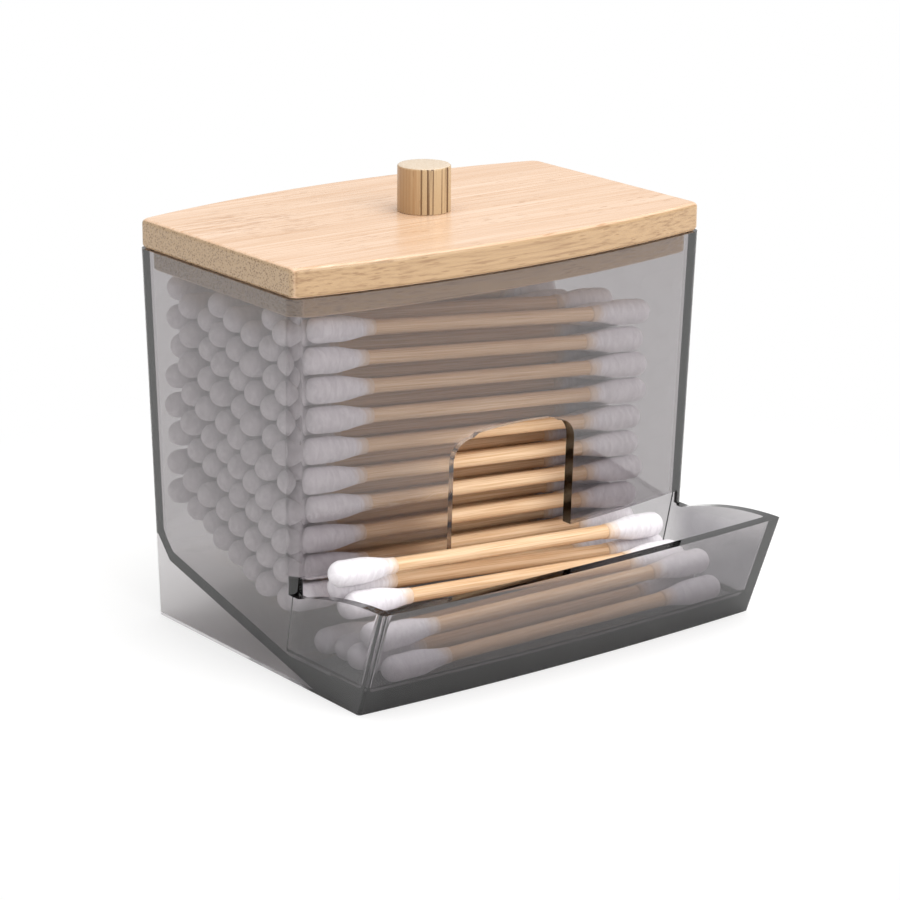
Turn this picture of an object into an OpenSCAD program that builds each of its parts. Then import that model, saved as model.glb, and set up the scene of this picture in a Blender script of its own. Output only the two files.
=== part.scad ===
// Cotton swab dispenser: a smoke-grey moulded box with a tray at its foot, a bamboo lid with a turned knob,
// and a full stack of cotton swabs. +X runs along the front, +Y to the back and +Z up, in millimetres.

/* [Box] */
// Free length for the swabs beyond each end, between the side walls at the rim
end_room = 5.3; // [5:0.1:10]
// Depth from front corner to back corner at the rim
body_d = 47.5; // [46:0.5:60]
// Height from the table to the rim
body_h = 68; // [66:0.5:80]
// How far the front face bows out in the middle
front_bow = 4.7; // [2:0.1:8]
// How far the back face bows out in the middle
back_bow = 5.7; // [2:0.1:8]
// Wall thickness
wall = 2.2; // [1.6:0.1:2.6]
// Radius of the upright outer corners
corner_r = 2; // [1:0.1:3]
// Draft of the side walls, in degrees
side_draft = 0.9; // [0.5:0.1:1.2]
// Draft of the front and back walls, in degrees
face_draft = 2; // [1:0.1:2.5]

/* [Outlet and tray] */
// Height of the front wall's lower edge
slot_z = 18.6; // [18:0.1:22]
// Width of the finger notch
notch_w = 27; // [18:0.5:34]
// Height of the finger notch's top
notch_z = 40.2; // [32:0.1:50]
// Radius of the notch's upper corners
notch_r = 4; // [2:0.1:6]
// How far the notch's top arches up in the middle
notch_rise = 1.2; // [0.5:0.1:3]
// Thickness of the tray's floor
floor_t = 4; // [3:0.1:5]
// How far the tray's foot stands out from the box's front corners
tray_foot = 17.2; // [15:0.1:22]
// How far the tray's lip stands out from the box's front corners
tray_lip = 24.6; // [22:0.1:30]
// Height of the tray's lip
tray_h = 19.8; // [16:0.1:22]
// Height where the cheeks meet the box
cheek_z = 15.7; // [13:0.1:16]
// How far the tray's front bows out in the middle
tray_bow = 1.6; // [1:0.1:3]
// Thickness of the cheeks
cheek_t = 1.9; // [1.4:0.1:2.4]
// Radius inside the foot of the tray
fillet_r = 1.5; // [0.5:0.1:2.5]
// How far behind the front corners the small step inside the side walls starts at the floor
step_back = 5.2; // [4.6:0.1:6]
// Lean of that step from upright, in degrees
step_lean = 12; // [10:0.5:20]

/* [Ramp] */
// Slope of the ramp under the swabs, in degrees
ramp_slope = 13.7; // [10:0.1:16]
// Slope of the short steep piece behind the ramp, in degrees
back_slope = 48.5; // [40:0.5:60]
// Distance from the back corners to the lower end of the steep piece
back_piece = 3.7; // [3:0.1:6]
// How far the flat foot reaches behind the tray's foot
flat_foot = 14.4; // [8:0.1:18]

/* [Lid] */
// How far the lid stays inside the rim's outer edge
lid_inset = 0.25; // [0:0.05:1]
// Thickness of the lid's board
lid_t = 5.2; // [4:0.1:8]
// Radius of the lid's upright corners
lid_corner_r = 1.5; // [1:0.1:4]
// Radius along the board's edges
lid_edge_r = 0.8; // [0.4:0.1:2]
// Depth of the locating plug under the board
plug_t = 3.7; // [3:0.1:4]
// Gap around the plug
plug_gap = 0.4; // [0.3:0.05:1]

/* [Knob] */
// Diameter of the knob
knob_d = 9.6; // [8:0.1:14]
// Height of the knob
knob_h = 8.5; // [7:0.1:14]
// Chamfer around the knob's top
knob_chamfer = 0.4; // [0.2:0.1:1]
// Diameter of the knob's screw
screw_d = 3; // [2.5:0.1:3.5]
// Length of the knob's screw
screw_l = 14; // [12:0.5:15]
// Diameter of the screw's countersunk head
screw_head_d = 5.6; // [5:0.1:6.5]
// Gap around the screw
screw_gap = 0.1; // [0.05:0.05:0.3]

/* [Swabs] */
// Length of a swab
swab_l = 75; // [70:0.5:76]
// Thickness of a cotton bud
bud_d = 4.7; // [4:0.1:4.8]
// Length of a cotton bud
bud_l = 13.5; // [10:0.5:16]
// Length of a bud's rounded nose
bud_nose = 2.3; // [1.5:0.1:3]
// Length of a bud before its taper starts
bud_full = 6; // [4:0.5:8]
// Cotton beyond the end of the stick
bud_cap = 1.2; // [0.8:0.1:2]
// Diameter of a stick
stick_d = 2.6; // [2:0.1:2.8]
// Gap between stick and cotton
stick_gap = 0.03; // [0.02:0.01:0.1]
// Gap between a swab and what it lies on or against
swab_gap = 0.25; // [0.2:0.05:0.5]
// Swabs from front to back in the stack
stack_columns = 9; // [7:1:9]
// How much higher the left ends lie than the right ends at the foot of the stack
lean_foot = 3.9; // [2:0.1:5]
// How much higher still for each millimetre up the stack
lean_rise = 0.075; // [0:0.005:0.1]
// Place of the stack's middle from left to right
stack_x = -3.1; // [-3.5:0.1:0]
// How unevenly the swabs lie lengthwise
unevenness = 0.8; // [0:0.1:1]

/* [Hidden] */
corner_steps = 4;
bow_steps = 12;
bow_fn = 720;
swab_fn = 24;
cut = 1;
head_rim = 0.3;
bud_end = 0.15;
bud_r = bud_d / 2;
stick_r = stick_d / 2;
body_w = swab_l + 2 * (end_room + wall);
bow_half = body_w / 2;
box_y = (tray_lip + tray_bow - back_bow) / 2;
front_y = box_y - body_d / 2;
lid_z = body_h;
lid_top = lid_z + lid_t;

// Half width and half depth of the drafted box at height z, a given distance inside its outer faces
function half_w(z, inset = 0) = body_w / 2 - inset - (body_h - z) * tan(side_draft);
function half_d(z, inset = 0) = body_d / 2 - inset - (body_h - z) * tan(face_draft);

// Radius of a bow that rises by sag over the box's half width, and its height at a distance from the middle
function bow_r(sag) = (pow(bow_half, 2) + pow(sag, 2)) / (2 * sag);
function bow(x, sag) = sqrt(pow(bow_r(sag), 2) - pow(x, 2)) - bow_r(sag) + sag;

// A bowed side seen from above, from its right end to its left end, with a rounded corner at each end
function bow_slope(x, sag) = asin(x / bow_r(sag));
function bowed_side(half, d, sag, r) =
    let (slope = bow_slope(half - r, sag), edge = half - r + r * sin(slope),
        corner = [for (i = [0:corner_steps]) let (a = i / corner_steps * (90 - slope))
            [half - r + r * cos(a), d + bow(edge, sag) - r * cos(slope) + r * sin(a)]],
        middle = [for (i = [1:bow_steps - 1]) let (x = edge * (1 - 2 * i / bow_steps)) [x, d + bow(x, sag)]])
    concat(corner, middle, [for (i = [corner_steps:-1:0]) [-corner[i][0], corner[i][1]]]);

// A board's plan, centred, with its bowed front towards -Y and its bowed back towards +Y
function plan(half, d, r) = concat(bowed_side(half, d, back_bow, r),
    [for (p = bowed_side(half, d, front_bow, r)) [-p[0], -p[1]]]);

// Where two straight lines of the side view meet, each given by a point and its slope
function meet(p, p_slope, q, q_slope) =
    let (y = (q[1] - p[1] + tan(p_slope) * p[0] - tan(q_slope) * q[0]) / (tan(p_slope) - tan(q_slope)))
    [y, p[1] + tan(p_slope) * (y - p[0])];
function lifted(p, slope, t) = [p[0], p[1] + t / cos(slope)];
function above(p, slope, y) = [y, p[1] + tan(slope) * (y - p[0])];

// The ramp's underside and upper side, as points of the side view
far_y = box_y + body_d;
ramp_foot = [front_y - tray_foot + flat_foot, 0];
ramp_end = above(ramp_foot, ramp_slope, box_y + half_d(cheek_z) - back_piece);
top_foot = lifted(ramp_foot, ramp_slope, wall);
top_start = [top_foot[0] + (floor_t - top_foot[1]) / tan(ramp_slope), floor_t];
top_end = meet(top_foot, ramp_slope, lifted(ramp_end, back_slope, wall), back_slope);
function ramp_top(y) = max(floor_t, above(top_start, ramp_slope, y)[1]);

// Turns a side view in Y and Z into a solid across the whole width
module across(reach = body_w) {
    rotate([90, 0, 90]) linear_extrude(height = reach, center = true) children();
}

// Everything between the two drafted side walls, a given distance inside their outer faces, and narrower
// by foot on each side at its lower edge
module between_sides(inset, z0, z1, foot = 0) {
    rotate([90, 0, 0]) linear_extrude(height = 4 * body_d, center = true) polygon([
        [half_w(z0, inset) - foot, z0], [half_w(z0 + foot, inset), z0 + foot], [half_w(z1, inset), z1],
        [-half_w(z1, inset), z1], [-half_w(z0 + foot, inset), z0 + foot], [-half_w(z0, inset) + foot, z0]
    ]);
}

// One bowed and drafted face of the box, as a wide cone: side is -1 for the front and 1 for the back
module bowed_face(side, sag, inset, z0, z1) {
    r = bow_r(sag) - body_d / 2;
    translate([0, box_y + side * (sag - r), z0])
        cylinder(r1 = r + half_d(z0, inset), r2 = r + half_d(z1, inset), h = z1 - z0, $fn = bow_fn);
}

// How far the line square to a direction reaches from the middle when it touches a rounded corner
function corner_reach(turn, z, inset, sag, r) =
    let (half = half_w(z, inset), slope = bow_slope(half - r, sag), edge = half - r + r * sin(slope))
    (half - r) * cos(turn) + (half_d(z, inset) + bow(edge, sag) - r * cos(slope)) * abs(sin(turn)) + r;

// Two opposite upright corners cut back to flats that follow a round of radius r
corner_turns = [28, 56];
module corner_flats(turn, inset, r, z0, z1) {
    right_bow = turn > 0 ? back_bow : front_bow;
    left_bow = turn > 0 ? front_bow : back_bow;
    translate([0, box_y, 0]) rotate([90, 0, turn]) linear_extrude(height = 4 * body_d, center = true)
    polygon([
        [-corner_reach(turn, z0, inset, left_bow, r), z0], [corner_reach(turn, z0, inset, right_bow, r), z0],
        [corner_reach(turn, z1, inset, right_bow, r), z1], [-corner_reach(turn, z1, inset, left_bow, r), z1]
    ]);
}

// The drafted box between two heights, open to the sides: its bowed front and back and its cut corners
module box_core(inset, r, z0, z1) {
    intersection() {
        bowed_face(-1, front_bow, inset, z0, z1);
        bowed_face(1, back_bow, inset, z0, z1);
        corner_flats(corner_turns[0], inset, r, z0, z1);
        corner_flats(-corner_turns[0], inset, r, z0, z1);
        corner_flats(corner_turns[1], inset, r, z0, z1);
        corner_flats(-corner_turns[1], inset, r, z0, z1);
    }
}

// The tray's bowed front face, which leans outward, as a wide cone
function tray_out(z) = (tray_lip - tray_foot) * z / tray_h;
module tray_face(inset, z0, z1, lean = 1) {
    r = bow_r(tray_bow);
    foot_r = r + tray_out(z0) - inset;
    translate([0, front_y - tray_foot - tray_bow + r, z0])
        cylinder(r1 = foot_r, r2 = foot_r + lean * tray_out(z1 - z0), h = z1 - z0, $fn = bow_fn);
}

module tray_core() {
    cheek_r = (pow(tray_lip, 2) + pow(tray_h - cheek_z, 2)) / (2 * (tray_h - cheek_z));
    intersection() {
        tray_face(0, 0, tray_h + cut);
        translate([0, front_y - tray_lip, tray_h - cheek_r]) rotate([0, 90, 0])
            cylinder(r = cheek_r, h = body_w + 2 * cut, center = true, $fn = bow_fn);
        across(body_w + cut) translate([front_y - 2 * tray_lip, 0])
            square([2 * tray_lip + wall + corner_r, tray_h + cut]);
    }
}

// The hollow of the tray, which also opens the foot of the box up to height top; a small step inside the
// side walls marks its back end
module trough(top) {
    lean_angle = atan((tray_lip - tray_foot) / tray_h);
    lip = wall / cos(lean_angle);
    front = front_y - 2 * tray_lip;
    step_y = front_y + step_back;
    intersection() {
        between_sides(cheek_t, floor_t, tray_h + 2 * cut, fillet_r / 2);
        tray_face(lip, floor_t, tray_h + 2 * cut);
        tray_face(lip + fillet_r / 2, floor_t, tray_h + 2 * cut, 1 / tan(lean_angle));
        across() polygon([
            [front, 0], [step_y, 0], [step_y, floor_t],
            [step_y - (top - floor_t) * tan(step_lean), top], [front, top]
        ]);
    }
}

// The room for the swabs, down to the floor and the ramp, and the opening under the front wall
module cavity() {
    front = front_y - tray_lip / 2;
    intersection() {
        between_sides(wall, 0, body_h + cut);
        union() {
            box_core(wall, corner_r, 0, body_h + cut);
            across() translate([front, 0]) square([box_y - front, slot_z]);
        }
        across() polygon([
            [front, floor_t], top_start, top_end,
            above(top_end, back_slope, far_y), [far_y, body_h + 2 * cut], [front, body_h + 2 * cut]
        ]);
    }
}

// The clear space under the ramp, open at the bottom and at the back
module ramp_hollow() {
    intersection() {
        between_sides(wall, -cut, body_h);
        across() polygon([
            above(ramp_foot, ramp_slope, ramp_foot[0] - cut), ramp_end,
            above(ramp_end, back_slope, far_y), [far_y, -cut], [ramp_foot[0] - cut, -cut]
        ]);
    }
}

// Finger notch in the front wall, with round upper corners and a slightly arched top
module finger_notch() {
    arch_r = (pow(notch_w / 2, 2) + pow(notch_rise, 2)) / (2 * notch_rise);
    shoulder = notch_z - notch_rise;
    inner = notch_w / 2 - notch_r;
    translate([0, box_y, 0]) rotate([90, 0, 0]) linear_extrude(height = body_d / 2 + front_bow + cut) {
        translate([-notch_w / 2, slot_z - cut]) square([notch_w, shoulder - notch_r - slot_z + cut]);
        for (x = [-inner, inner]) translate([x, shoulder - notch_r]) circle(r = notch_r, $fn = 48);
        intersection() {
            translate([-inner, shoulder - notch_r - cut]) square([2 * inner, notch_r + notch_rise + 2 * cut]);
            translate([0, notch_z - arch_r]) circle(r = arch_r, $fn = bow_fn);
        }
    }
}

module container() {
    color([0.45, 0.43, 0.45, 0.5]) difference() {
        intersection() {
            between_sides(0, 0, body_h);
            union() {
                difference() {
                    box_core(0, corner_r, 0, body_h);
                    trough(slot_z);
                }
                difference() {
                    tray_core();
                    trough(tray_h + 2 * cut);
                }
            }
        }
        cavity();
        ramp_hollow();
        finger_notch();
    }
}

// The lid's board with rounded edges, and the plug that drops inside the rim
module lid_board() {
    translate([0, box_y, lid_z]) hull() for (a = [0:30:90]) {
        in = lid_inset + lid_edge_r * (1 - cos(a));
        rise = lid_edge_r * (1 - sin(a));
        translate([0, 0, rise]) linear_extrude(height = lid_t - 2 * rise)
            polygon(plan(body_w / 2 - in, body_d / 2 - in, lid_corner_r));
    }
}

module lid_plug() {
    in = wall + plug_gap;
    translate([0, box_y, lid_z - plug_t]) linear_extrude(height = plug_t + lid_edge_r)
        polygon(plan(half_w(lid_z, in), half_d(lid_z, in), corner_r));
}

// Screw with a countersunk head, pointing up, or the hole for it when grown by a gap
module screw_shape(gap) {
    head_r = screw_head_d / 2 + gap;
    rotate_extrude($fn = 48) polygon([
        [0, -gap], [head_r, -gap], [head_r, head_rim],
        [screw_d / 2 + gap, head_rim + screw_head_d / 2 - screw_d / 2],
        [screw_d / 2 + gap, screw_l - screw_d / 2], [gap, screw_l + gap], [0, screw_l + gap]
    ]);
}

module lid() {
    color("#e6c396") difference() {
        union() {
            lid_board();
            lid_plug();
        }
        translate([0, box_y, lid_z - plug_t]) screw_shape(screw_gap);
    }
}

module knob() {
    color("#d9b27c") translate([0, box_y, lid_top]) difference() {
        rotate_extrude($fn = 64) polygon([
            [0, 0], [knob_d / 2, 0], [knob_d / 2, knob_h - knob_chamfer],
            [knob_d / 2 - knob_chamfer, knob_h], [0, knob_h]
        ]);
        translate([0, 0, -plug_t - lid_t]) screw_shape(screw_gap);
    }
}

module knob_screw() {
    recess = screw_head_d - 2 * screw_d / 3;
    color("silver") translate([0, box_y, lid_z - plug_t]) difference() {
        screw_shape(0);
        for (turn = [0, 90]) rotate(turn) cube([recess, screw_d / 4, screw_d / 2], center = true);
    }
}

// A bud's radius at a distance from its tip: a round nose, a full stretch and a soft taper to the stick
function bud_radius(s) =
    s < bud_nose ? bud_r * sqrt(1 - pow(1 - s / bud_nose, 2))
    : s < bud_full ? bud_r
    : let (end_r = stick_r + bud_end)
        end_r + (bud_r - end_r) * (1 + cos(180 * (s - bud_full) / (bud_l - bud_full))) / 2;
nose_steps = 4;
taper_steps = 4;
bud_stations = concat(
    [for (i = [0:nose_steps]) bud_nose * (1 - cos(90 * i / nose_steps))],
    [for (i = [0:taper_steps]) bud_full + (bud_l - bud_full) * i / taper_steps]);

// One bud with its tip at the origin, wound on a stick that comes in along +Z
module bud() {
    bore_r = stick_r + stick_gap;
    rotate_extrude($fn = swab_fn) polygon(concat(
        [for (s = bud_stations) [bud_radius(s), s]],
        [[bore_r, bud_l], [bore_r, bud_cap], [0, bud_cap]]));
}

// A swab's place is [x, y, z of its middle, degrees that its left end lies up, degrees that it lies askew]
module at_place(place) {
    translate([place[0], place[1], place[2]]) rotate([0, place[3], place[4]]) children();
}
module swab_buds(place) {
    color("white") at_place(place) for (side = [0, 180])
        rotate([0, side, 0]) translate([swab_l / 2, 0, 0]) rotate([0, -90, 0]) bud();
}
module swab_stick(place) {
    color("#e2bd8d") at_place(place) rotate([0, 90, 0])
        cylinder(r = stick_r, h = swab_l - 2 * bud_cap, center = true, $fn = swab_fn);
}

// The stack: columns from front to back, each one standing on the ramp and filled up to the lid's plug.
// The front one stands half a row higher, on the swabs in its mouth, and the others lean forward on it.
row_pitch = bud_d + swab_gap;
front_rise = row_pitch / 2;
column_rise = 0.06 * row_pitch;
lean_ends = swab_l / 2;
stack_top = lid_z - plug_t - swab_gap - bud_r;
reach_x = lean_ends - bud_nose - stack_x + unevenness;
function front_face(z) = box_y - half_d(z, wall) - bow(reach_x, front_bow);
function back_face(z) = box_y + half_d(z, wall) + bow(reach_x, back_bow);
lift = bud_r + swab_gap;
function column_y(c, z) =
    let (at = max(z, slot_z), from = front_face(at) + lift, to = back_face(at) - lift)
    from + (to - from) * c / (stack_columns - 1);
function column_foot(c) =
    let (y = column_y(c, slot_z), rise = c == 0 ? front_rise : (c - 1) * column_rise)
    max(ramp_top(y) + lift + rise, above(top_end, back_slope, y)[1] + lift / cos(back_slope));
function right_z(c, r) = column_foot(c) + r * row_pitch;
function lean(z) = lean_foot + lean_rise * (z - floor_t);
function column_rows(c) =
    floor((stack_top - lean_foot + lean_rise * floor_t - column_foot(c) * (1 + lean_rise))
        / (row_pitch * (1 + lean_rise)));
uneven = rands(-1, 1, 400, 11);
function stack_place(c, r) =
    let (z = right_z(c, r), up = lean(z), mid = z + up / 2)
    [stack_x + unevenness * uneven[c * 20 + r], column_y(c, mid), mid, asin(up / swab_l), 0];

// Loose swabs in the tray: each one's x, its distance from the box's front corners and its height above
// the tray's floor, all as shares of a bud's thickness, and its lean and how far it lies askew in degrees
tray_swabs = [
    [-0.1, -3.19, 0, 0, 0],
    [-0.42, -2.11, 0, 0.4, 0],
    [-0.2, -1.04, 0, 0.3, 0],
    [-0.35, 0.02, 0, 0.2, 0],
    [-0.47, -1.57, 0.86, 3.8, 0],
    [-0.42, -0.51, 0.86, 5.1, 0],
    [-0.21, -2.64, 0.93, 0.4, 0],
    [-0.89, -1.09, 1.91, 4.2, 1]
];
function tray_place(i) =
    let (s = tray_swabs[i], ends = sin(s[3]) * lean_ends)
    [s[0] * bud_d, front_y + s[1] * bud_d, floor_t + lift + s[2] * bud_d + ends, s[3], s[4]];

front_rows = column_rows(0);
function two(n) = str(n < 10 ? "0" : "", n);
function front_name(r) = str("front_swab_", two(r + 1));
function tray_name(i) = str("tray_swab_", i + 1);
function stack_name(c) = str("stack_", c);
swab_names = concat(
    [for (r = [0:front_rows]) front_name(r)],
    [for (i = [0:len(tray_swabs) - 1]) tray_name(i)],
    [for (c = [1:stack_columns - 1]) stack_name(c)]);

container();
lid();
knob();
knob_screw();
for (r = [0:front_rows]) {
    swab_stick(stack_place(0, r));
    swab_buds(stack_place(0, r));
}
for (i = [0:len(tray_swabs) - 1]) {
    swab_stick(tray_place(i));
    swab_buds(tray_place(i));
}
for (c = [1:stack_columns - 1]) {
    for (r = [0:column_rows(c)]) swab_stick(stack_place(c, r));
    for (r = [0:column_rows(c)]) swab_buds(stack_place(c, r));
}
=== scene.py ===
"""Cotton swab dispenser: looks, floor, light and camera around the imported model."""
import math
import random

import bmesh
import bpy
import numpy as np
from mathutils import Matrix, Vector


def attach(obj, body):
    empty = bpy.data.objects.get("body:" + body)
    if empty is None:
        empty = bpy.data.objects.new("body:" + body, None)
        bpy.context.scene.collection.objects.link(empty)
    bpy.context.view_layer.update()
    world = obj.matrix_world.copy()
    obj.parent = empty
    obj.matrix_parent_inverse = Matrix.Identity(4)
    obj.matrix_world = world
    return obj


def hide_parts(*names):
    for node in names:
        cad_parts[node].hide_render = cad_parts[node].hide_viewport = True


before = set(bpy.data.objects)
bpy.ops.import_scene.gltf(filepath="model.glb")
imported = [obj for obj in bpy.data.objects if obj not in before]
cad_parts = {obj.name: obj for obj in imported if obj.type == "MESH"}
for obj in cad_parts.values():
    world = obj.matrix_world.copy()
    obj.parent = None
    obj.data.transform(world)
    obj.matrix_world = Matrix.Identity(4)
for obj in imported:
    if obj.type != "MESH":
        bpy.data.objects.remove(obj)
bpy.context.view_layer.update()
scene = bpy.context.scene

# Sizes in millimetres, as in the part's source
MM = 0.001
BODY_W, BODY_D, BODY_H = 90.0, 47.5, 68.0
FRONT_BOW, BACK_BOW = 4.7, 5.7
WALL, CORNER_R = 2.2, 2.0
SIDE_DRAFT, FACE_DRAFT = math.tan(math.radians(0.9)), math.tan(math.radians(2.0))
SLOT_Z, NOTCH_W, NOTCH_Z, NOTCH_R, NOTCH_RISE = 18.6, 27.0, 40.2, 4.0, 1.2
FLOOR_T, TRAY_FOOT, TRAY_LIP, TRAY_H, CHEEK_Z, TRAY_BOW = 4.0, 17.2, 24.6, 19.8, 15.7, 1.6
CHEEK_T, FILLET_R, STEP_BACK, STEP_LEAN = 1.9, 1.5, 5.2, math.tan(math.radians(12))
TRAY_IN_R, TRAY_OUT_R = 0.7, 0.6
RAMP, BACK_SLOPE = math.tan(math.radians(13.7)), math.tan(math.radians(48.5))
BACK_PIECE, FLAT_FOOT = 3.7, 14.4
LID_INSET, LID_T, LID_CORNER_R, LID_EDGE_R, PLUG_T, PLUG_GAP = 0.25, 5.2, 1.5, 0.8, 3.7, 0.4
KNOB_D, KNOB_H, KNOB_CHAMFER = 9.6, 8.5, 0.4
SCREW_D, SCREW_L, SCREW_HEAD_D, SCREW_GAP, HEAD_RIM = 3.0, 14.0, 5.6, 0.1, 0.3
SWAB_L, BUD_D, BUD_L, BUD_NOSE, BUD_FULL, BUD_END = 75.0, 4.7, 13.5, 2.3, 6.0, 0.15
STICK_D, BUD_CAP = 2.6, 1.2
# How far the tray reaches into the box where the two are joined, and the hairline between rim and lid
TRAY_JOIN, RIM_GAP = 3.4, 0.04
# The small rounds along the moulding's edges and around the plug's foot and the knob's, and the knob's crown
EDGE_R, PLUG_CHAMFER, KNOB_FOOT_R, KNOB_CROWN = 0.22, 0.3, 0.15, 0.12
# How uneven sticks and buds are, as a share of their radius
STICK_ROUGH, BUD_ROUGH = 0.03, 0.05
BOX_Y = (TRAY_LIP + TRAY_BOW - BACK_BOW) / 2
FRONT_Y = BOX_Y - BODY_D / 2
LID_TOP = BODY_H + LID_T


def half_w(z, inset=0.0):
    """Half the drafted box's width at height z, a given distance inside its outer faces."""
    return BODY_W / 2 - inset - (BODY_H - z) * SIDE_DRAFT


def half_d(z, inset=0.0):
    """Half its depth between the corners, in the same way."""
    return BODY_D / 2 - inset - (BODY_H - z) * FACE_DRAFT


def bow_r(sag):
    """The radius of a bow that rises by sag over half the box's width."""
    return ((BODY_W / 2) ** 2 + sag**2) / (2 * sag)


def bow(x, sag):
    """The bow's height at a distance x from the middle."""
    return math.sqrt(bow_r(sag) ** 2 - x**2) - bow_r(sag) + sag


# Mesh helpers
def link(name, mesh):
    """A new object of this mesh, in the scene."""
    piece = bpy.data.objects.new(name, mesh)
    scene.collection.objects.link(piece)
    return piece


def loft(name, rings):
    """A closed solid through rings of the same number of points, in millimetres."""
    count = len(rings[0])
    points = [tuple(c * MM for c in p) for ring in rings for p in ring]
    faces = [tuple(reversed(range(count))), tuple(range(len(points) - count, len(points)))]
    for i in range(len(rings) - 1):
        for j in range(count):
            k = (j + 1) % count
            faces.append((i * count + j, i * count + k, (i + 1) * count + k, (i + 1) * count + j))
    mesh = bpy.data.meshes.new(name)
    mesh.from_pydata(points, [], faces)
    return link(name, outward(mesh))


def outward(mesh):
    """The mesh with all its faces turned outward."""
    bm = bmesh.new()
    bm.from_mesh(mesh)
    bmesh.ops.recalc_face_normals(bm, faces=bm.faces)
    bm.to_mesh(mesh)
    bm.free()
    return mesh


def baked(piece):
    """The piece with its modifiers applied."""
    depsgraph = bpy.context.evaluated_depsgraph_get()
    mesh = bpy.data.meshes.new_from_object(piece.evaluated_get(depsgraph))
    piece.modifiers.clear()
    piece.data = mesh
    return piece


def combine(piece, tool, operation):
    """Joins the tool to the piece, cuts it out or keeps what they share, and removes the tool."""
    modifier = piece.modifiers.new(operation, "BOOLEAN")
    modifier.operation, modifier.solver, modifier.object = operation, "EXACT", tool
    baked(piece)
    bpy.data.objects.remove(tool)
    return piece


def bowed_side(half, depth, sag, r, corner_steps=8, bow_steps=40):
    """One bowed side from its right end to its left end, with a rounded corner at each end."""
    slope = math.asin((half - r) / bow_r(sag))
    edge = half - r + r * math.sin(slope)
    corner = []
    for i in range(corner_steps + 1):
        a = i / corner_steps * (math.pi / 2 - slope)
        y = depth + bow(edge, sag) - r * math.cos(slope) + r * math.sin(a)
        corner.append((half - r + r * math.cos(a), y))
    middle = [(edge * (1 - 2 * i / bow_steps), depth) for i in range(1, bow_steps)]
    middle = [(x, y + bow(x, sag)) for x, y in middle]
    return corner + middle + [(-x, y) for x, y in reversed(corner)]


def plan(z, half, depth, r):
    """The box's plan at height z, anticlockwise from its right side."""
    back = [(x, BOX_Y + y, z) for x, y in bowed_side(half, depth, BACK_BOW, r)]
    front = [(-x, BOX_Y - y, z) for x, y in bowed_side(half, depth, FRONT_BOW, r)]
    return back + front


def across(name, profile, inset):
    """A side view in Y and Z as a solid between the two drafted side walls."""
    return loft(name, [[(side * half_w(z, inset), y, z) for y, z in profile] for side in (-1, 1)])


# The container
def tray_ring(z, y_back, side, lip, r):
    """The tray's plan at height z: side and lip are how far inside its outer faces it lies."""
    half = half_w(z, side)
    y_front = FRONT_Y - TRAY_FOOT - (TRAY_LIP - TRAY_FOOT) * z / TRAY_H + lip
    front = [(-x, y_front - y, z) for x, y in bowed_side(half, 0, TRAY_BOW, r, corner_steps=6)]
    return [(half, y_back, z), (-half, y_back, z)] + front


def step_y(z):
    """Where the small step inside the side walls stands at height z."""
    return FRONT_Y + STEP_BACK - (z - FLOOR_T) * STEP_LEAN


def trough(name, top):
    """The tray's hollow with a rounded foot, up to height top."""
    lean = math.atan((TRAY_LIP - TRAY_FOOT) / TRAY_H)
    rings = []
    for i in range(7):
        a = i / 6 * math.pi / 2
        pull, z = FILLET_R * (1 - math.sin(a)), FLOOR_T + FILLET_R * (1 - math.cos(a))
        rings.append(tray_ring(z, step_y(z), CHEEK_T + pull, WALL / math.cos(lean) + pull, TRAY_IN_R))
    rings.append(tray_ring(top, step_y(top), CHEEK_T, WALL / math.cos(lean), TRAY_IN_R))
    return loft(name, rings)


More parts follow.
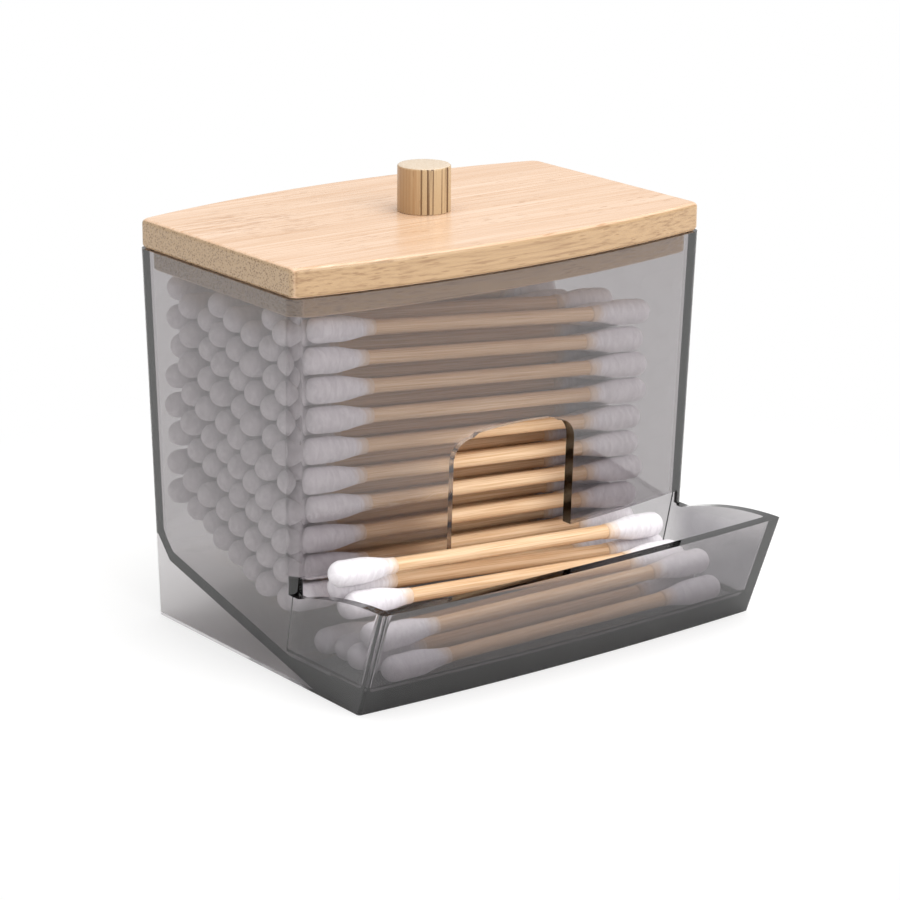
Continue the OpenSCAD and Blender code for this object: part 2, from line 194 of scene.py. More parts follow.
def container_mesh():
    """The whole moulding: box, tray, ramp, finger notch and the hollow under the ramp."""
    rim = BODY_H - RIM_GAP
    box = loft("smoked_container", [plan(z, half_w(z), half_d(z), CORNER_R) for z in (0, rim)])
    combine(box, trough("cut_foot", SLOT_Z), "DIFFERENCE")

    # the tray, with cheeks that are cut along an arc
    y_back = FRONT_Y + TRAY_JOIN
    tray = loft("tray", [tray_ring(z, y_back, 0, 0, TRAY_OUT_R) for z in (0, TRAY_H + 1)])
    cheek_r = (TRAY_LIP**2 + (TRAY_H - CHEEK_Z) ** 2) / (2 * (TRAY_H - CHEEK_Z))
    arc = []
    for i in range(33):
        dy = -4 + i / 32 * (TRAY_LIP + 4)
        arc.append((FRONT_Y - TRAY_LIP + dy, TRAY_H - cheek_r + math.sqrt(cheek_r**2 - dy**2)))
    under = [(FRONT_Y + 6, -1), (FRONT_Y - TRAY_LIP - 4, -1)]
    combine(tray, across("cut_cheeks", arc + [(FRONT_Y + 6, CHEEK_Z)] + under, -1), "INTERSECT")
    combine(tray, trough("cut_tray", TRAY_H + 2), "DIFFERENCE")
    combine(box, tray, "UNION")

    # the room for the swabs, down to the ramp, and the hollow under the ramp
    far = BOX_Y + BODY_D / 2 + BACK_BOW + 10
    foot = (FRONT_Y - TRAY_FOOT + FLAT_FOOT, 0)
    end_y = BOX_Y + half_d(CHEEK_Z) - BACK_PIECE
    end = (end_y, (end_y - foot[0]) * RAMP)
    up, up_back = WALL * math.hypot(1, RAMP), WALL * math.hypot(1, BACK_SLOPE)
    start_y = foot[0] + (FLOOR_T - up) / RAMP
    top_y = (up - foot[0] * RAMP - end[1] - up_back + end_y * BACK_SLOPE) / (BACK_SLOPE - RAMP)
    top = (top_y, up + (top_y - foot[0]) * RAMP)
    inside = [(start_y, FLOOR_T), top, (far, top[1] + (far - top_y) * BACK_SLOPE), (far, BODY_H + 9),
              (FRONT_Y - TRAY_LIP, BODY_H + 9), (FRONT_Y - TRAY_LIP, FLOOR_T)]
    room = loft("cut_room", [plan(z, half_w(z, WALL), half_d(z, WALL), CORNER_R) for z in (0, BODY_H + 2)])
    mouth = [(BOX_Y, 0), (BOX_Y, SLOT_Z), (FRONT_Y - 8, SLOT_Z), (FRONT_Y - 8, 0)]
    combine(room, across("add_mouth", mouth, WALL), "UNION")
    combine(room, across("cut_ramp", inside, -2), "INTERSECT")
    combine(box, room, "DIFFERENCE")
    under = [(foot[0] - 1, -RAMP), end, (far, end[1] + (far - end_y) * BACK_SLOPE), (far, -1),
             (foot[0] - 1, -1)]
    combine(box, across("cut_under", under, WALL), "DIFFERENCE")

    # the finger notch, with round shoulders under a slightly arched top
    arch_r = ((NOTCH_W / 2) ** 2 + NOTCH_RISE**2) / (2 * NOTCH_RISE)
    side = [(NOTCH_W / 2, SLOT_Z - 1)]
    for i in range(9):
        a = i / 8 * math.pi / 2
        x = NOTCH_W / 2 - NOTCH_R * (1 - math.cos(a))
        side.append((x, NOTCH_Z - NOTCH_RISE - NOTCH_R * (1 - math.sin(a))))
    arch = [x / 8 * (NOTCH_W / 2 - NOTCH_R) for x in range(7, -8, -1)]
    arch = [(x, NOTCH_Z - arch_r + math.sqrt(arch_r**2 - x**2)) for x in arch]
    notch = side + arch + [(-x, z) for x, z in reversed(side)]
    hole = loft("cut_notch", [[(x, y, z) for x, z in notch] for y in (FRONT_Y - 12, FRONT_Y + 12)])
    combine(box, hole, "DIFFERENCE")
    return box


def soften(piece, width, segments, angle=35):
    """Small rounds along the sharp edges."""
    bm = bmesh.new()
    bm.from_mesh(piece.data)
    bmesh.ops.remove_doubles(bm, verts=bm.verts, dist=0.00002)
    bmesh.ops.dissolve_degenerate(bm, edges=bm.edges, dist=0.00002)
    bm.to_mesh(piece.data)
    bm.free()
    bevel = piece.modifiers.new("rounds", "BEVEL")
    bevel.width, bevel.segments, bevel.limit_method = width * MM, segments, "ANGLE"
    bevel.angle_limit, bevel.use_clamp_overlap, bevel.harden_normals = math.radians(angle), True, False
    bevel.miter_outer = "MITER_ARC"
    baked(piece)
    smooth(piece, 35)


def smooth(piece, angle):
    """Smooth shading between the sharp edges, in which large faces keep their own direction."""
    piece.data.shade_smooth()
    piece.data.set_sharp_from_angle(angle=math.radians(angle))
    weighted = piece.modifiers.new("normals", "WEIGHTED_NORMAL")
    weighted.mode, weighted.weight, weighted.keep_sharp = "FACE_AREA", 80, True
    baked(piece)


# The lid and its knob
def screw_hole(name):
    """The hole for the knob's screw, up through the lid and into the knob."""
    gap, head = SCREW_GAP, SCREW_HEAD_D / 2 + SCREW_GAP
    radii = [(head, -1), (head, HEAD_RIM), (SCREW_D / 2 + gap, HEAD_RIM + (SCREW_HEAD_D - SCREW_D) / 2),
             (SCREW_D / 2 + gap, SCREW_L - SCREW_D / 2), (gap, SCREW_L + gap)]
    return turned(name, radii, BODY_H - PLUG_T, 48)


def turned(name, radii, z0, steps):
    """A solid turned about the lid's middle from (radius, height) pairs, bottom to top."""
    turns = [2 * math.pi * i / steps for i in range(steps)]
    return loft(name, [[(r * math.cos(a), BOX_Y + r * math.sin(a), z0 + z) for a in turns] for r, z in radii])


def lid_mesh():
    """The board with rounded edges, and the plug under it with a chamfered foot."""
    rings = []
    inset = WALL + PLUG_GAP
    plug_z = BODY_H - PLUG_T
    for z, pull in ((plug_z, PLUG_CHAMFER), (plug_z + PLUG_CHAMFER, 0), (BODY_H, 0)):
        rings.append(plan(z, half_w(BODY_H, inset) - pull, half_d(BODY_H, inset) - pull, CORNER_R))
    low = [(i / 6 * math.pi / 2, 0) for i in range(7)]
    high = [(a, 1) for a, _ in reversed(low)]
    for a, top in low + high:
        pull = LID_INSET + LID_EDGE_R * (1 - math.sin(a))
        rise = LID_EDGE_R * (1 - math.cos(a))
        z = LID_TOP - rise if top else BODY_H + rise
        rings.append(plan(z, BODY_W / 2 - pull, BODY_D / 2 - pull, LID_CORNER_R))
    lid = loft("bamboo_lid", rings)
    combine(lid, screw_hole("cut_screw"), "DIFFERENCE")
    smooth(lid, 40)
    return lid


def knob_mesh():
    """The turned knob, with a softened foot, a round chamfer and a faintly crowned top."""
    r, crown = KNOB_D / 2, KNOB_CROWN
    radii = [(r - KNOB_FOOT_R, 0), (r, KNOB_FOOT_R), (r, KNOB_H - KNOB_CHAMFER - crown)]
    for i in range(1, 5):
        a = i / 4 * math.pi / 2
        z = KNOB_H - crown - KNOB_CHAMFER * (1 - math.sin(a))
        radii.append((r - KNOB_CHAMFER * (1 - math.cos(a)), z))
    for i in range(1, 7):
        s = 1 - i / 6.5
        radii.append(((r - KNOB_CHAMFER) * s, KNOB_H - crown * s * s))
    knob = turned("bamboo_knob", radii, LID_TOP, 96)
    combine(knob, screw_hole("cut_knob_screw"), "DIFFERENCE")
    smooth(knob, 40)
    return knob


# The swabs
def islands(mesh):
    """A mesh's separate solids as arrays of points, also where its faces don't share their points."""
    points = np.empty(len(mesh.vertices) * 3)
    mesh.vertices.foreach_get("co", points)
    points = points.reshape(-1, 3)
    same = {}
    parent = [same.setdefault(tuple(p), i) for i, p in enumerate(np.round(points, 6))]

    def root(i):
        while parent[i] != i:
            parent[i] = parent[parent[i]]
            i = parent[i]
        return i

    for edge in mesh.edges:
        a, b = (root(i) for i in edge.vertices)
        parent[max(a, b)] = min(a, b)
    groups = {}
    for i in range(len(points)):
        groups.setdefault(root(i), []).append(i)
    return [points[indices] for indices in groups.values()]


def stick_axes(name):
    """Middle and direction, towards +X, of each stick of a CAD node, from the bottom up."""
    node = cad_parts[name]
    axes = []
    for points in islands(node.data):
        middle = (points.min(axis=0) + points.max(axis=0)) / 2
        far = points[:, 0] > middle[0]
        direction = points[far].mean(axis=0) - points[~far].mean(axis=0)
        axes.append((middle, direction / np.linalg.norm(direction)))
    return sorted(axes, key=lambda axis: axis[0][2])


def bud_radius(s):
    """A bud's radius at a distance from its tip, in millimetres."""
    full, thin = BUD_D / 2, STICK_D / 2 + BUD_END
    if s < BUD_NOSE:
        return full * math.sqrt(max(0.0, 1 - (1 - s / BUD_NOSE) ** 2))
    if s < BUD_FULL:
        return full
    return thin + (full - thin) * (1 + math.cos(math.pi * (s - BUD_FULL) / (BUD_L - BUD_FULL))) / 2


class Build:
    """Collects tubes about given axes in one mesh, with each point's place along and across its swab."""

    def __init__(self):
        self.points, self.faces, self.grain, self.thin = [], [], [], []

    def tube(self, origin, along, radii, around, rng, rough):
        """radii: (distance along, radius) pairs in millimetres, closed by a flat face at each end."""
        side = np.cross(along, (0.0, 0.0, 1.0))
        side /= np.linalg.norm(side)
        up = np.cross(side, along)
        first = len(self.points)
        shift = rng.uniform(0, 50)
        waves = [(rng.randint(1, 4), rng.uniform(0.15, 0.7), rng.uniform(0, 6.3)) for _ in range(4)]
        for s, radius in radii:
            for k in range(around):
                a = 2 * math.pi * k / around
                swell = sum(math.sin(n * a + f * s + p) for n, f, p in waves) / len(waves)
                r = radius * (1 - rough * (1 + swell) / 2)
                across = side * math.cos(a) + up * math.sin(a)
                self.points.append(origin + along * s * MM + across * r * MM)
                self.grain.append((s + shift, r * math.cos(a) + shift, r * math.sin(a)))
                self.thin.append(max(0.0, (s - BUD_FULL) / (BUD_L - BUD_FULL)))
        for i in range(len(radii) - 1):
            for k in range(around):
                m = (k + 1) % around
                a, b = first + i * around, first + (i + 1) * around
                self.faces.append((a + k, a + m, b + m, b + k))
        self.faces.append(tuple(first + k for k in reversed(range(around))))
        self.faces.append(tuple(len(self.points) - around + k for k in range(around)))

    def piece(self, name):
        mesh = bpy.data.meshes.new(name)
        mesh.from_pydata([tuple(p) for p in self.points], [], self.faces)
        grain = mesh.attributes.new("grain", "FLOAT_VECTOR", "POINT")
        grain.data.foreach_set("vector", np.array(self.grain, dtype=np.float32).ravel())
        thin = mesh.attributes.new("thin", "FLOAT", "POINT")
        thin.data.foreach_set("value", np.array(self.thin, dtype=np.float32))
        outward(mesh)
        mesh.shade_smooth()
        return link(name, mesh)


def swab_pieces(name, fine):
    """The detailed sticks and buds that stand for one swab or one column of swabs."""
    rng = random.Random(name)
    sticks, buds = Build(), Build()
    half = SWAB_L / 2 * MM
    nose = [BUD_NOSE * (1 - math.cos(math.pi / 2 * (i + 0.35) / 7)) for i in range(7)]
    body = [BUD_NOSE + (BUD_L - BUD_NOSE) * i / (22 if fine else 11) for i in range(23 if fine else 12)]
    profile = [(s, bud_radius(s)) for s in nose + body] + [(BUD_L + 0.05, STICK_D / 2 - 0.1)]
    for middle, along in stick_axes(name + "_sticks"):
        length = SWAB_L - 2 * BUD_CAP
        ends = [(length * i / 16, STICK_D / 2) for i in range(17)]
        sticks.tube(middle - along * length / 2 * MM, along, ends, 20 if fine else 14, rng, STICK_ROUGH)
        for way in (1, -1):
            tip = middle + along * half * way
            buds.tube(tip, along * -way, profile, 36 if fine else 20, rng, BUD_ROUGH)
    for build, kind, slot in ((sticks, "_sticks", "bamboo_stick"), (buds, "_buds", "cotton")):
        piece = build.piece("detailed_" + name + kind)
        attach(piece, "container")
        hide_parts(name + kind)
        piece.data.materials.append(MATERIALS[slot])


# Materials
def srgb(text):
    """An sRGB hex colour as linear RGBA."""
    values = [int(text[i:i + 2], 16) / 255 for i in (0, 2, 4)]
    return tuple(v / 12.92 if v <= 0.04045 else ((v + 0.055) / 1.055) ** 2.4 for v in values) + (1.0,)


def add(tree, kind, inputs=None, **settings):
    """Adds a node with its settings, and values or links for its inputs."""
    node = tree.nodes.new("ShaderNode" + kind)
    for key, value in settings.items():
        setattr(node, key, value)
    for key, value in (inputs or {}).items():
        if isinstance(value, bpy.types.NodeSocket):
            tree.links.new(value, node.inputs[key])
        else:
            node.inputs[key].default_value = value
    return node


def new_material(name):
    material = bpy.data.materials.new(name)
    material.use_nodes = True
    material.node_tree.nodes.clear()
    return material, material.node_tree


def per_mm(*sizes):
    """The scale at which a pattern's features have these sizes along X, Y and Z, in millimetres."""
    return tuple(1 / (size * MM) for size in sizes)


# The settings that all noise patterns share, those of a soft range and a colour mix, and the places of a
# colour mix's two inputs and its output among its sockets
NOISE = {"Scale": 1.0, "Roughness": 0.55}
SOFT = {"interpolation_type": "SMOOTHSTEP"}
RGBA = {"data_type": "RGBA"}
COLOUR_A, COLOUR_B, MIXED = 6, 7, 2


def smoked_plastic():
    """Clear moulded polystyrene with a smoke-grey tint through its whole thickness.

    To the eye it is grey glass: pale where one wall is seen straight through, and nearly black at its edges.
    """
    material, tree = new_material("smoked_polystyrene")
    where = add(tree, "TexCoord").outputs["Object"]
    # slow waves of the moulded surface, and a faint haze that varies its gloss
    at = add(tree, "Mapping", {"Vector": where, "Scale": per_mm(16, 16, 22)})
    waves = add(tree, "TexNoise", {"Vector": at.outputs[0], "Detail": 1.0, **NOISE}).outputs["Fac"]
    at = add(tree, "Mapping", {"Vector": where, "Scale": per_mm(6, 6, 6)})
    haze = add(tree, "TexNoise", {"Vector": at.outputs[0], "Detail": 3.0, **NOISE}).outputs["Fac"]
    bump = add(tree, "Bump", {"Height": waves, "Strength": 0.15, "Distance": 0.00005})
    gloss = add(tree, "MapRange", {"Value": haze, "From Min": 0.3, "From Max": 0.7, "To Min": 0.02,
                                   "To Max": 0.05}, **SOFT)
    # the tray's foot, low and at the front, is tinted darker as painted shade for the shade in and under the
    # tray
    axes = add(tree, "SeparateXYZ", {0: where}).outputs
    forward = add(tree, "MapRange", {"Value": axes[1], "From Min": -0.008, "From Max": -0.016}, **SOFT)
    low = add(tree, "MapRange", {"Value": axes[2], "From Min": 0.022, "From Max": 0.012}, **SOFT)
    foot = add(tree, "Math", {0: forward.outputs[0], 1: low.outputs[0]}, operation="MULTIPLY").outputs[0]
    shaded_foot_colour = add(tree, "Mix", {0: foot, COLOUR_A: srgb("FFFFFF"), COLOUR_B: srgb("C8C7CA")}, **RGBA)
    shader = add(tree, "BsdfPrincipled", {
        "Base Color": shaded_foot_colour.outputs[MIXED], "Transmission Weight": 1.0, "IOR": 1.59,
        "Roughness": gloss.outputs[0], "Normal": bump.outputs[0]})
    # light that falls on what is inside goes straight through, without the bending
    path = add(tree, "LightPath").outputs
    straight = add(tree, "Math", {0: path["Is Shadow Ray"], 1: path["Is Diffuse Ray"]}, operation="MAXIMUM")
    # painted shade: the light let through to what lies in the tray's foot is dimmed there too
    shaded_foot_light = add(tree, "Mix", {0: foot, COLOUR_A: srgb("FCFCFC"), COLOUR_B: srgb("E7E6E7")}, **RGBA)
    clear = add(tree, "BsdfTransparent", {"Color": shaded_foot_light.outputs[MIXED]})
    both = add(tree, "MixShader", {0: straight.outputs[0], 1: shader.outputs[0], 2: clear.outputs[0]})
    tint = add(tree, "VolumeAbsorption", {"Color": srgb("B5AFB1"), "Density": 375.0})
    add(tree, "OutputMaterial", {"Surface": both.outputs[0], "Volume": tint.outputs[0]})
    return material


def bamboo(name, along, pale, deep, fleck, end_pale, end_deep, side_pale, side_deep, gloss):
    """Pressed bamboo, sanded and lacquered thinly: fine fibres, darker bundles of vessels and glued strips.

    along is the grain's direction, 0 for X and 2 for Z. The end colours are those of the cut ends of the
    fibres. For the board the side colours are those of its long edges, darker than its top partly as painted
    shade; for the knob they are those of the strip in its right half.
    The real fibres are about 0.1 mm wide, and are drawn some 0.5 mm wide so that they show.
    """
    material, tree = new_material(name)
    where = add(tree, "TexCoord").outputs["Object"]

    def grain(length, width, shift=(0, 0, 0)):
        """A place in a pattern this long along the grain and this wide across it, in millimetres."""
        sizes = (length if axis == along else width for axis in range(3))
        return add(tree, "Mapping", {"Vector": where, "Scale": per_mm(*sizes), "Location": shift}).outputs[0]

    fibres = add(tree, "TexNoise", {"Vector": grain(30, 0.45), "Detail": 4.0, **NOISE}).outputs["Fac"]
    broad = add(tree, "TexNoise", {"Vector": grain(90, 6, (3, 1, 2)), "Detail": 2.0, **NOISE}).outputs["Fac"]
    bundles = add(tree, "TexVoronoi", {"Vector": grain(4.8, 0.62), "Scale": 1.0, "Randomness": 1.0})
    spots = add(tree, "MapRange", {"Value": bundles.outputs["Distance"], "From Min": 0.28, "From Max": 0.12},
                **SOFT).outputs[0]
    patches = add(tree, "TexNoise", {"Vector": grain(20, 5, (7, 5, 1)), "Detail": 2.0, **NOISE})
    sparse = add(tree, "MapRange", {"Value": patches.outputs["Fac"], "From Min": 0.45, "From Max": 0.72},
                 **SOFT).outputs[0]
    lines = add(tree, "MapRange", {"Value": fibres, "From Min": 0.3, "From Max": 0.72}, **SOFT).outputs[0]
    colour = add(tree, "Mix", {0: lines, COLOUR_A: pale, COLOUR_B: deep}, **RGBA).outputs[MIXED]
    bands = add(tree, "MapRange", {"Value": broad, "From Min": 0.35, "From Max": 0.75, "To Max": 0.45},
                **SOFT).outputs[0]
    colour = add(tree, "Mix", {0: bands, COLOUR_A: colour, COLOUR_B: deep}, **RGBA).outputs[MIXED]
    # short dashes lie crowded where the cane had a knot
    knot = add(tree, "VectorMath", {0: where, 1: KNOT}, operation="DISTANCE").outputs["Value"]
    near = add(tree, "MapRange", {"Value": knot, "From Min": 0.016, "From Max": 0.006, "To Max": 0.5},
               **SOFT).outputs[0]
    marks = add(tree, "TexNoise", {"Vector": grain(3.5, 0.7, (5, 2, 8)), "Detail": 2.0, **NOISE})
    dashes = add(tree, "MapRange", {"Value": marks.outputs["Fac"], "From Min": 0.5, "From Max": 0.66},
                 **SOFT).outputs[0]
    crowd = add(tree, "Math", {0: dashes, 1: near}, operation="MULTIPLY").outputs[0]
    flecks = add(tree, "Math", {0: spots, 1: sparse}, operation="MULTIPLY").outputs[0]
    for amount in (flecks, crowd):
        colour = add(tree, "Mix", {0: amount, COLOUR_A: colour, COLOUR_B: fleck}, **RGBA).outputs[MIXED]
    turns = add(tree, "SeparateXYZ", {0: add(tree, "NewGeometry").outputs["Normal"]}).outputs
    if along == 0:
        # the long edges have their own streaks, and are darker than the top partly as painted shade
        facing = add(tree, "Math", {0: turns[1]}, operation="ABSOLUTE").outputs[0]
        side = add(tree, "MapRange", {"Value": facing, "From Min": 0.6, "From Max": 0.9}, **SOFT).outputs[0]
        dark = add(tree, "MapRange", {"Value": fibres, "From Min": 0.42, "From Max": 0.8}, **SOFT).outputs[0]
        faint = add(tree, "Math", {0: spots, 1: 0.6}, operation="MULTIPLY").outputs[0]
        streaks = add(tree, "Math", {0: dark, 1: faint}, operation="MAXIMUM").outputs[0]
    else:
        # the knob is turned from two strips, the right one with dark vessels
        across = add(tree, "VectorMath", {0: where, 1: (0.79, -0.61, 0)}, operation="DOT_PRODUCT")
        side = add(tree, "MapRange", {"Value": across.outputs["Value"], "From Min": -0.0072,
                                      "From Max": -0.0065}, **SOFT).outputs[0]
        vessels = add(tree, "TexNoise", {"Vector": grain(90, 0.6, (4, 9, 2)), "Detail": 1.0, **NOISE})
        streaks = add(tree, "MapRange", {"Value": vessels.outputs["Fac"], "From Min": 0.5, "From Max": 0.6},
                      **SOFT).outputs[0]
    # on the board this side colour is partly painted shade, on the knob it is the strip's own colour
    strip = add(tree, "Mix", {0: streaks, COLOUR_A: side_pale, COLOUR_B: side_deep}, **RGBA).outputs[MIXED]
    colour = add(tree, "Mix", {0: side, COLOUR_A: colour, COLOUR_B: strip}, **RGBA).outputs[MIXED]
    # across the ends, the cut fibres show as a dense stipple
    facing = add(tree, "Math", {0: turns[along]}, operation="ABSOLUTE").outputs[0]
    cut = add(tree, "MapRange", {"Value": facing, "From Min": 0.55, "From Max": 0.85}, **SOFT).outputs[0]
    cells = add(tree, "TexVoronoi", {"Vector": grain(6, 0.42), "Scale": 1.0, "Randomness": 0.9})
    dots = add(tree, "MapRange", {"Value": cells.outputs["Distance"], "From Min": 0.46, "From Max": 0.2},
               **SOFT).outputs[0]
    stipple = add(tree, "Mix", {0: dots, COLOUR_A: end_pale, COLOUR_B: end_deep}, **RGBA).outputs[MIXED]
    colour = add(tree, "Mix", {0: cut, COLOUR_A: colour, COLOUR_B: stipple}, **RGBA).outputs[MIXED]
    relief = add(tree, "Math", {0: fibres, 1: spots}, operation="SUBTRACT").outputs[0]
    bump = add(tree, "Bump", {"Height": relief, "Strength": 0.25, "Distance": 0.00006})
    sheen = add(tree, "MapRange", {"Value": fibres, "From Min": 0.2, "From Max": 0.8, "To Min": gloss,
                                   "To Max": gloss + 0.12}, **SOFT)
    shader = add(tree, "BsdfPrincipled", {
        "Base Color": colour, "Roughness": sheen.outputs[0], "IOR": 1.5, "Normal": bump.outputs[0]})
    add(tree, "OutputMaterial", {"Surface": shader.outputs[0]})
    return material


def bamboo_stick():
    """A thin split bamboo rod, bare and dry, with fibres along it and rods of slightly different tone.

    Its patterns lie along the rod, in the millimetres of the grain attribute.
    """
    material, tree = new_material("bamboo_rod")
    where = add(tree, "Attribute", attribute_name="grain").outputs["Vector"]
    at = add(tree, "Mapping", {"Vector": where, "Scale": (1 / 14, 1 / 0.22, 1 / 0.22)})
    fibres = add(tree, "TexNoise", {"Vector": at.outputs[0], "Detail": 3.0, **NOISE}).outputs["Fac"]
    at = add(tree, "Mapping", {"Vector": where, "Scale": (1 / 60, 1 / 40, 1 / 40)})
    tone = add(tree, "TexNoise", {"Vector": at.outputs[0], "Detail": 0.0, **NOISE}).outputs["Fac"]
    lines = add(tree, "MapRange", {"Value": fibres, "From Min": 0.3, "From Max": 0.75}, **SOFT).outputs[0]
    colour = add(tree, "Mix", {0: lines, COLOUR_A: srgb("EFCFAA"), COLOUR_B: srgb("D2A679")}, **RGBA)
    shade = add(tree, "MapRange", {"Value": tone, "From Min": 0.35, "From Max": 0.65, "To Max": 0.35},
                **SOFT).outputs[0]
    colour = add(tree, "Mix", {0: shade, COLOUR_A: colour.outputs[MIXED], COLOUR_B: srgb("C79C70")}, **RGBA)
    bump = add(tree, "Bump", {"Height": fibres, "Strength": 0.3, "Distance": 0.00005})
    dry = add(tree, "MapRange", {"Value": fibres, "From Min": 0.2, "From Max": 0.8, "To Min": 0.45,
                                 "To Max": 0.62}, **SOFT)
    shader = add(tree, "BsdfPrincipled", {
        "Base Color": colour.outputs[MIXED], "Roughness": dry.outputs[0], "IOR": 1.5,
        "Normal": bump.outputs[0]})
    add(tree, "OutputMaterial", {"Surface": shader.outputs[0]})
    return material


def cotton():
    """Wound cotton wool: a soft white nap with faint turns of the winding, about 0.8 mm apart."""
    material, tree = new_material("cotton_wool")
    where = add(tree, "Attribute", attribute_name="grain").outputs["Vector"]
    at = add(tree, "Mapping", {"Vector": where, "Scale": (1 / 0.8, 1 / 2.4, 1 / 2.4)})
    winding = add(tree, "TexNoise", {"Vector": at.outputs[0], "Detail": 2.0, "Distortion": 0.8,
                                     **NOISE}).outputs["Fac"]
    at = add(tree, "Mapping", {"Vector": where, "Scale": (1 / 0.22, 1 / 0.22, 1 / 0.22)})
    nap = add(tree, "TexNoise", {"Vector": at.outputs[0], "Detail": 3.0, **NOISE}).outputs["Fac"]
    turns = add(tree, "MapRange", {"Value": winding, "From Min": 0.3, "From Max": 0.7}, **SOFT).outputs[0]
    white = add(tree, "Mix", {0: turns, COLOUR_A: srgb("EEEAED"), COLOUR_B: srgb("DFDADE")}, **RGBA)
    # the cotton thins out where it ends, and the stick shows through
    thin = add(tree, "Attribute", attribute_name="thin").outputs["Fac"]
    ragged = add(tree, "Math", {0: winding, 1: 0.35}, operation="MULTIPLY").outputs[0]
    edge = add(tree, "Math", {0: thin, 1: ragged}, operation="ADD").outputs[0]
    bare = add(tree, "MapRange", {"Value": edge, "From Min": 0.72, "From Max": 1.25, "To Max": 0.85},
               **SOFT).outputs[0]
    colour = add(tree, "Mix", {0: bare, COLOUR_A: white.outputs[MIXED], COLOUR_B: srgb("E0BE98")}, **RGBA)
    fluff = add(tree, "Math", {0: nap, 1: 0.5}, operation="MULTIPLY").outputs[0]
    height = add(tree, "Math", {0: winding, 1: fluff}, operation="ADD").outputs[0]
    bump = add(tree, "Bump", {"Height": height, "Strength": 0.4, "Distance": 0.00008})
    shader = add(tree, "BsdfPrincipled", {
        "Base Color": colour.outputs[MIXED], "Roughness": 0.9, "IOR": 1.45, "Specular IOR Level": 0.2,
        "Sheen Weight": 0.35, "Sheen Roughness": 0.5, "Normal": bump.outputs[0]})
    add(tree, "OutputMaterial", {"Surface": shader.outputs[0]})
    return material


def zinc_steel():
    """Zinc-plated steel, a cool grey with fine turning marks."""
    material, tree = new_material("zinc_steel")
    where = add(tree, "TexCoord").outputs["Object"]
    at = add(tree, "Mapping", {"Vector": where, "Scale": per_mm(0.6, 0.6, 0.08)})
    marks = add(tree, "TexNoise", {"Vector": at.outputs[0], "Detail": 2.0, **NOISE}).outputs["Fac"]
    bump = add(tree, "Bump", {"Height": marks, "Strength": 0.2, "Distance": 0.00003})
    colour = add(tree, "Mix", {0: marks, COLOUR_A: srgb("B9BABC"), COLOUR_B: srgb("A4A5A8")}, **RGBA)
    rough = add(tree, "MapRange", {"Value": marks, "From Min": 0.2, "From Max": 0.8, "To Min": 0.28,
                                   "To Max": 0.42}, **SOFT)
    shader = add(tree, "BsdfPrincipled", {
        "Base Color": colour.outputs[MIXED], "Metallic": 1.0, "Roughness": rough.outputs[0],
        "Normal": bump.outputs[0]})
    add(tree, "OutputMaterial", {"Surface": shader.outputs[0]})
    return material


def white_floor():
    """Matt white studio paper, with a nap of about 2 mm."""
    material, tree = new_material("white_paper")
    where = add(tree, "TexCoord").outputs["Object"]
    at = add(tree, "Mapping", {"Vector": where, "Scale": per_mm(2, 2, 2)})
    nap = add(tree, "TexNoise", {"Vector": at.outputs[0], "Detail": 2.0, **NOISE}).outputs["Fac"]
    colour = add(tree, "Mix", {0: nap, COLOUR_A: srgb("FFFFFE"), COLOUR_B: srgb("FDFDFC")}, **RGBA)
    paper = add(tree, "BsdfDiffuse", {"Color": colour.outputs[MIXED], "Roughness": 0.0})
    # away from the object, the paper is white to the camera however little light reaches it
    distance = add(tree, "VectorMath", {0: where}, operation="LENGTH").outputs["Value"]
    seen = add(tree, "LightPath").outputs
    outer = add(tree, "MapRange", {"Value": distance, "From Min": 0.05, "From Max": 0.15, "To Min": 0.6},
                **SOFT).outputs[0]
    straight = add(tree, "Math", {0: outer, 1: seen["Is Camera Ray"]}, operation="MULTIPLY").outputs[0]
    inner = add(tree, "MapRange", {"Value": distance, "From Min": 0.035, "From Max": 0.08}, **SOFT).outputs[0]
    through = add(tree, "Math", {0: inner, 1: seen["Is Transmission Ray"]}, operation="MULTIPLY").outputs[0]
    far = add(tree, "Math", {0: straight, 1: through}, operation="MAXIMUM").outputs[0]
    plain = add(tree, "Emission", {"Color": (1, 1, 1, 1), "Strength": 1.0})
    both = add(tree, "MixShader", {0: far, 1: paper.outputs[0], 2: plain.outputs[0]})
    add(tree, "OutputMaterial", {"Surface": both.outputs[0]})
    return material


# The middle of the lid's knot, in metres
KNOT = (-0.031, 0.019, LID_TOP * MM)

MATERIALS = {
    "smoked_plastic": smoked_plastic(),
    # the board's side colours are darker than its top partly as painted shade
    "bamboo_board": bamboo("bamboo_board", 0, srgb("E2C4A9"), srgb("CCA582"), srgb("A8794F"), srgb("AC9171"),
                           srgb("775B40"), srgb("AE8F6B"), srgb("876647"), 0.22),
    "bamboo_knob": bamboo("bamboo_knob", 2, srgb("C2A57F"), srgb("AD8860"), srgb("8E6840"), srgb("CDBCA7"),
                          srgb("BEA88A"), srgb("BBA07B"), srgb("604224"), 0.34),
    "screw_steel": zinc_steel(),
    "bamboo_stick": bamboo_stick(),
    "cotton": cotton(),
}

# The pieces and what they ride on
container = container_mesh()
soften(container, EDGE_R, 2)
lid = lid_mesh()
knob = knob_mesh()
for piece, body, node, slot in (
    (container, "container", "container", "smoked_plastic"),
    (lid, "lid", "lid", "bamboo_board"),
    (knob, "lid", "knob", "bamboo_knob"),
):
    piece.data.materials.clear()
    piece.data.materials.append(MATERIALS[slot])
    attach(piece, body)
    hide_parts(node)
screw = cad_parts["knob_screw"]
screw.data.materials.clear()
screw.data.materials.append(MATERIALS["screw_steel"])
for name in sorted(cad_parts):
    if name.endswith("_sticks"):
        base = name[: -len("_sticks")]
        swab_pieces(base, fine=not base.startswith("stack"))

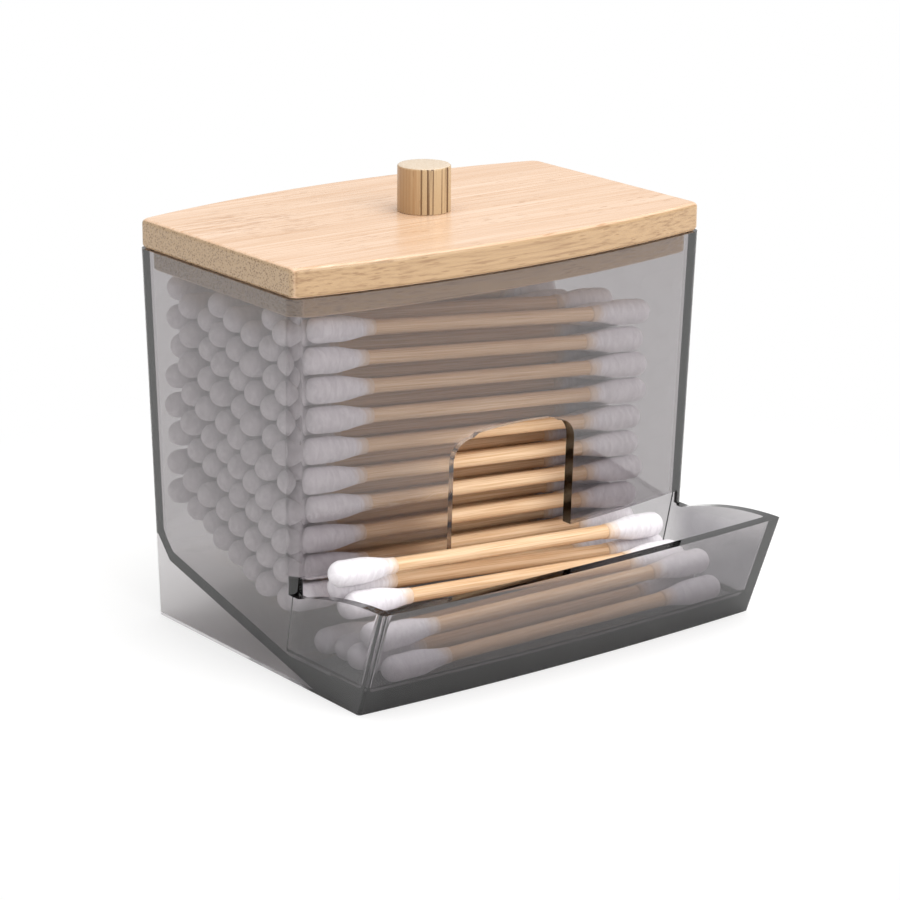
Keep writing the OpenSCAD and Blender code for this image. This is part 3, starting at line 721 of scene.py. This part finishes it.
# Floor, light and camera
FLOOR_REACH, FLOOR_GAP = 6.0, 0.0002
mesh = bpy.data.meshes.new("studio_floor")
corners = [(x * FLOOR_REACH, y * FLOOR_REACH, 0) for x, y in ((-1, -1), (1, -1), (1, 1), (-1, 1))]
mesh.from_pydata(corners, [], [(0, 1, 2, 3)])
floor = link("studio_floor", mesh)
floor.location.z = -FLOOR_GAP
mesh.materials.append(white_floor())

world = bpy.data.worlds.new("studio")
world.use_nodes = True
scene.world = world
tree = world.node_tree
tree.nodes.clear()
# the sky is white where it is seen, also through the plastic, and lights the object more softly
path = add(tree, "LightPath").outputs
seen = add(tree, "Math", {0: path["Is Camera Ray"], 1: path["Is Transmission Ray"]}, operation="MAXIMUM")
soft = add(tree, "Background", {"Color": (1, 1, 1, 1), "Strength": 0.70})
white = add(tree, "Background", {"Color": (1, 1, 1, 1), "Strength": 1.0})
sky = add(tree, "MixShader", {0: seen.outputs[0], 1: soft.outputs[0], 2: white.outputs[0]})
add(tree, "OutputWorld", {"Surface": sky.outputs[0]})


def area_light(name, place, target, size, power):
    """A white softbox at a place, turned to its target."""
    light = bpy.data.lights.new(name, "AREA")
    light.shape, light.size, light.size_y = "RECTANGLE", size[0], size[1]
    light.energy = power
    lamp = bpy.data.objects.new(name, light)
    scene.collection.objects.link(lamp)
    lamp.location = place
    lamp.rotation_euler = (Vector(place) - Vector(target)).to_track_quat("Z", "Y").to_euler()


middle = (0, 0.005, 0.035)
area_light("top_softbox", (0.10, -0.10, 0.90), middle, (0.9, 0.9), 6.4)
area_light("front_softbox", (0.15, -0.90, 0.50), middle, (0.9, 0.7), 6.0)

# the photograph's viewpoint in millimetres, and how it is turned in degrees
CAMERA_AT, CAMERA_TURN = (-323.77, -419.82, 191.99), (-37.505, 16.894, 0.459)
camera = bpy.data.cameras.new("camera")
camera.lens, camera.sensor_width, camera.sensor_fit = 123.23, 36.0, "HORIZONTAL"
camera.clip_start, camera.clip_end = 0.01, 20
eye = bpy.data.objects.new("camera", camera)
scene.collection.objects.link(eye)
yaw, pitch, roll = (math.radians(v) for v in CAMERA_TURN)
back = Vector((math.sin(yaw) * math.cos(pitch), -math.cos(yaw) * math.cos(pitch), math.sin(pitch)))
right = Vector((math.cos(yaw), math.sin(yaw), 0))
up = back.cross(right)
right, up = right * math.cos(roll) + up * math.sin(roll), up * math.cos(roll) - right * math.sin(roll)
turn = Matrix((right, up, back)).transposed().to_4x4()
eye.matrix_world = Matrix.Translation(Vector(CAMERA_AT) * MM) @ turn
scene.camera = eye
scene.view_settings.view_transform = "Standard"
